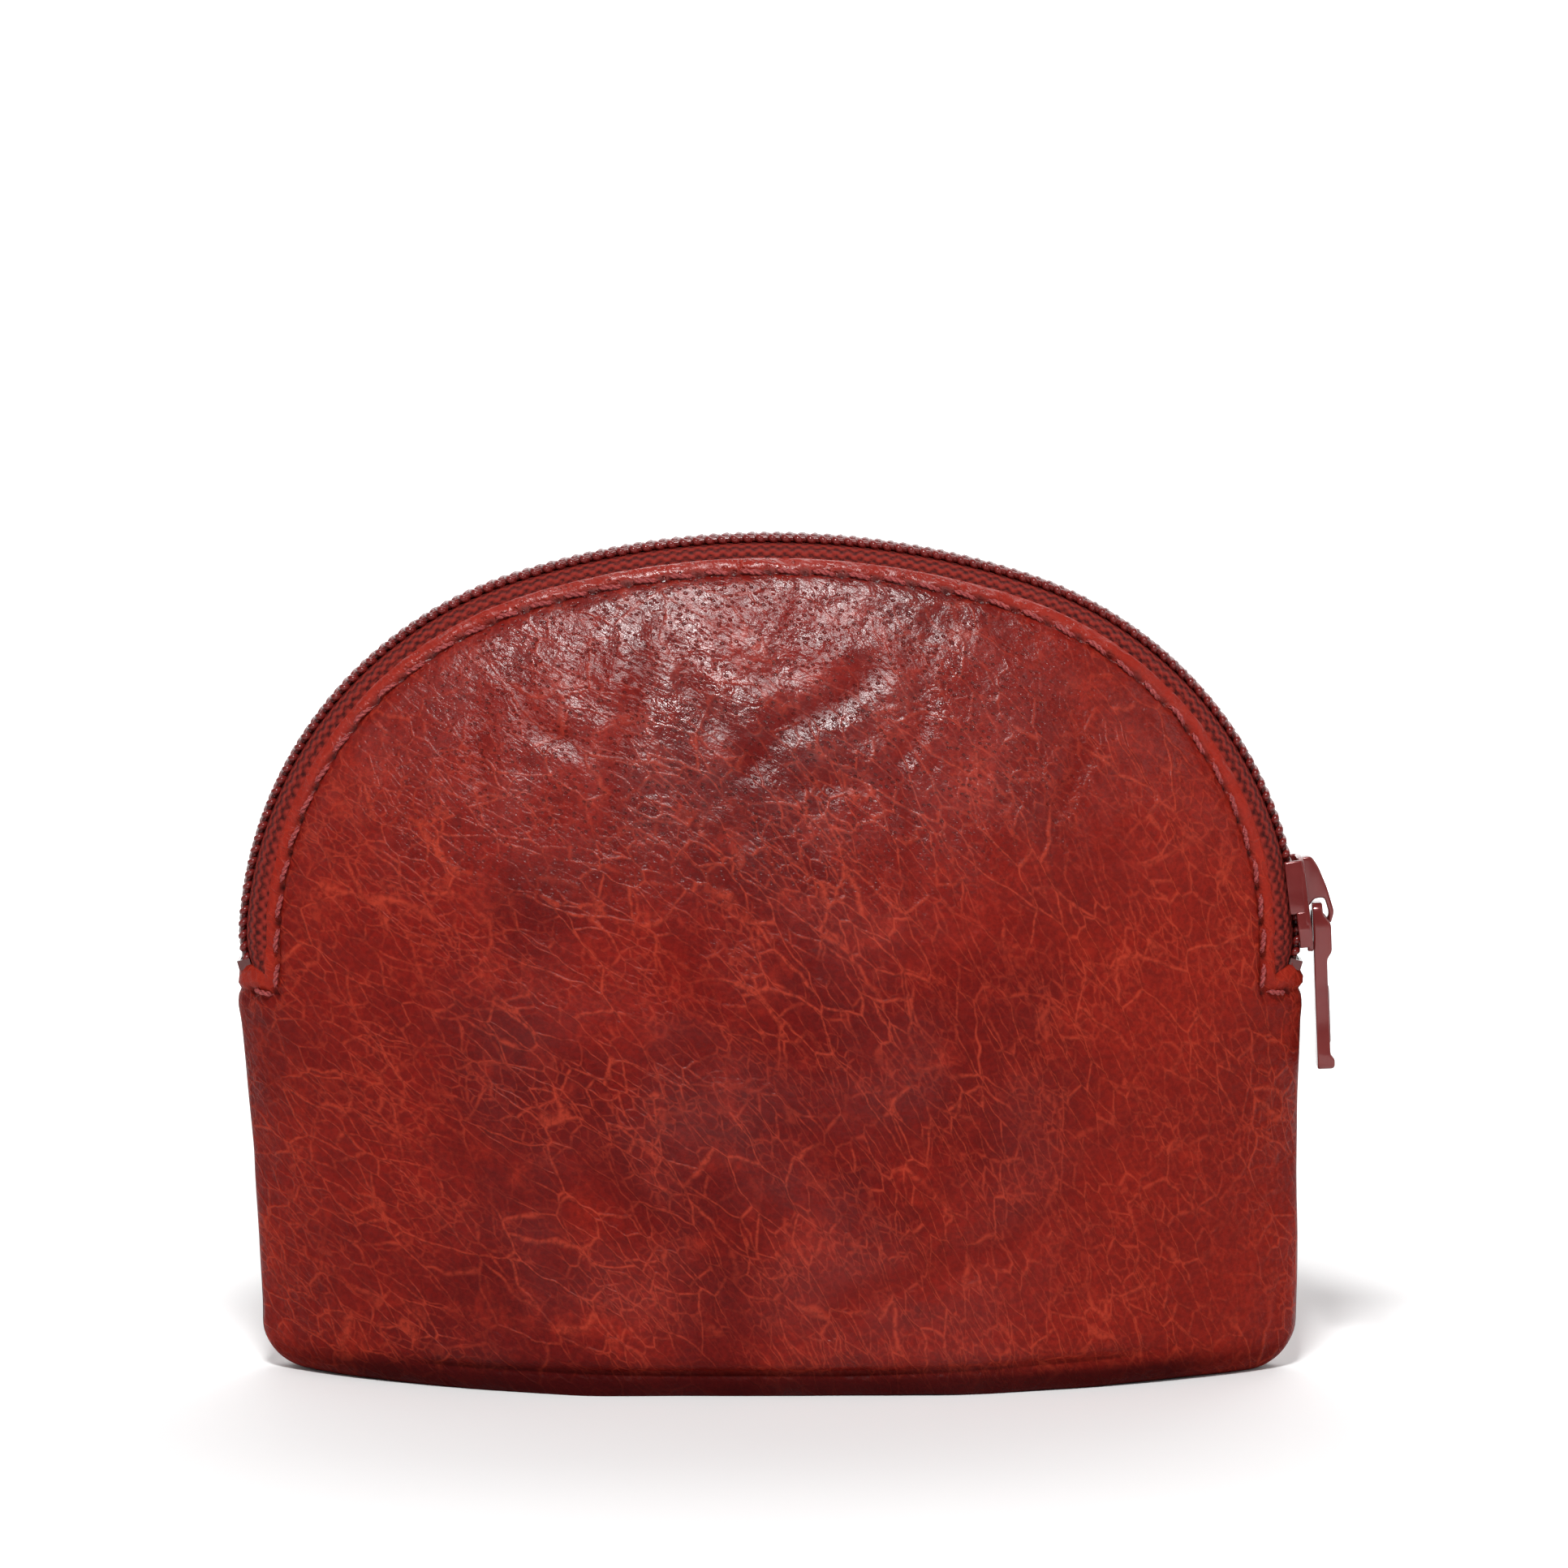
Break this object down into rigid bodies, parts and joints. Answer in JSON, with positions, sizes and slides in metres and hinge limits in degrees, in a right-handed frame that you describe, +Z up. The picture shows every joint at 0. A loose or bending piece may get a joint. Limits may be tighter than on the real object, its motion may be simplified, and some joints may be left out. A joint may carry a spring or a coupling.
{
  "type": "zippered pouch",
  "caption": "Small arched leather coin pouch whose coil zip runs over the rounded top, with lined front and back panels, a metal slider and a hanging pull tab.",
  "frame": {"origin": "on the resting plane, under the middle of the base", "axes": "+X along the width towards the closed slider, -Y towards the front panel, +Z up through the arched zip"},
  "size_m": [0.1133, 0.035, 0.0867],
  "materials": {
    "waxed_leather": "waxed pull-up leather, semi-gloss",
    "lining_cloth": "plain woven lining",
    "nylon_coil": "glossy nylon",
    "zip_tape": "woven polyester tape",
    "sewing_thread": "twisted thread",
    "red_enamelled_metal": "glossy enamel",
    "spring_steel": "plain"
  },
  "bodies": {
    "pouch_body": {"front_panel": "waxed_leather", "back_panel": "waxed_leather", "front_lining": "lining_cloth", "back_lining": "lining_cloth", "front_coil": "nylon_coil", "back_coil": "nylon_coil", "front_tape": "zip_tape", "back_tape": "zip_tape", "front_stitching": "sewing_thread", "back_stitching": "sewing_thread", "front_top_stop": "red_enamelled_metal", "back_top_stop": "red_enamelled_metal", "bottom_stop": "red_enamelled_metal"},
    "front_mouth_lip": {"front_lip": "waxed_leather", "front_lip_coil": "nylon_coil", "front_lip_tape": "zip_tape", "front_lip_stitching": "sewing_thread"},
    "back_mouth_lip": {"back_lip": "waxed_leather", "back_lip_coil": "nylon_coil", "back_lip_tape": "zip_tape", "back_lip_stitching": "sewing_thread"},
    "slider": {"slider_body": "red_enamelled_metal", "slider_crown": "red_enamelled_metal", "lock_spring": "spring_steel"},
    "pull_tab": {"pull_tab": "red_enamelled_metal"}
  },
  "joints": [
    {"name": "slider_travel", "type": "hinge", "parent": "pouch_body", "child": "slider", "pos_m": [0.0136, 0, 0.0434], "axis": [0, -1, 0], "range_deg": [0, 63]},
    {"name": "tab_swing", "type": "hinge", "parent": "slider", "child": "pull_tab", "pos_m": [0.0561, 0, 0.04809], "axis": [0, -1, 0], "range_deg": [0, 125]},
    {"name": "front_lip_tip", "type": "hinge", "parent": "pouch_body", "child": "front_mouth_lip", "pos_m": [0.0537, -0.0035, 0.0436], "axis": [0.5504, 0, -0.8349], "range_deg": [0, 45], "deforming": ["front_lip", "front_lip_coil", "front_lip_tape", "front_lip_stitching"]},
    {"name": "back_lip_tip", "type": "hinge", "parent": "pouch_body", "child": "back_mouth_lip", "pos_m": [0.0537, 0.0035, 0.0436], "axis": [-0.5504, 0, 0.8349], "range_deg": [0, 45], "deforming": ["back_lip", "back_lip_coil", "back_lip_tape", "back_lip_stitching"]}
  ],
  "couplings": [
    {"joint": "front_lip_tip", "follows": "slider_travel", "ratio": 0.714},
    {"joint": "back_lip_tip", "follows": "slider_travel", "ratio": 0.714}
  ]
}
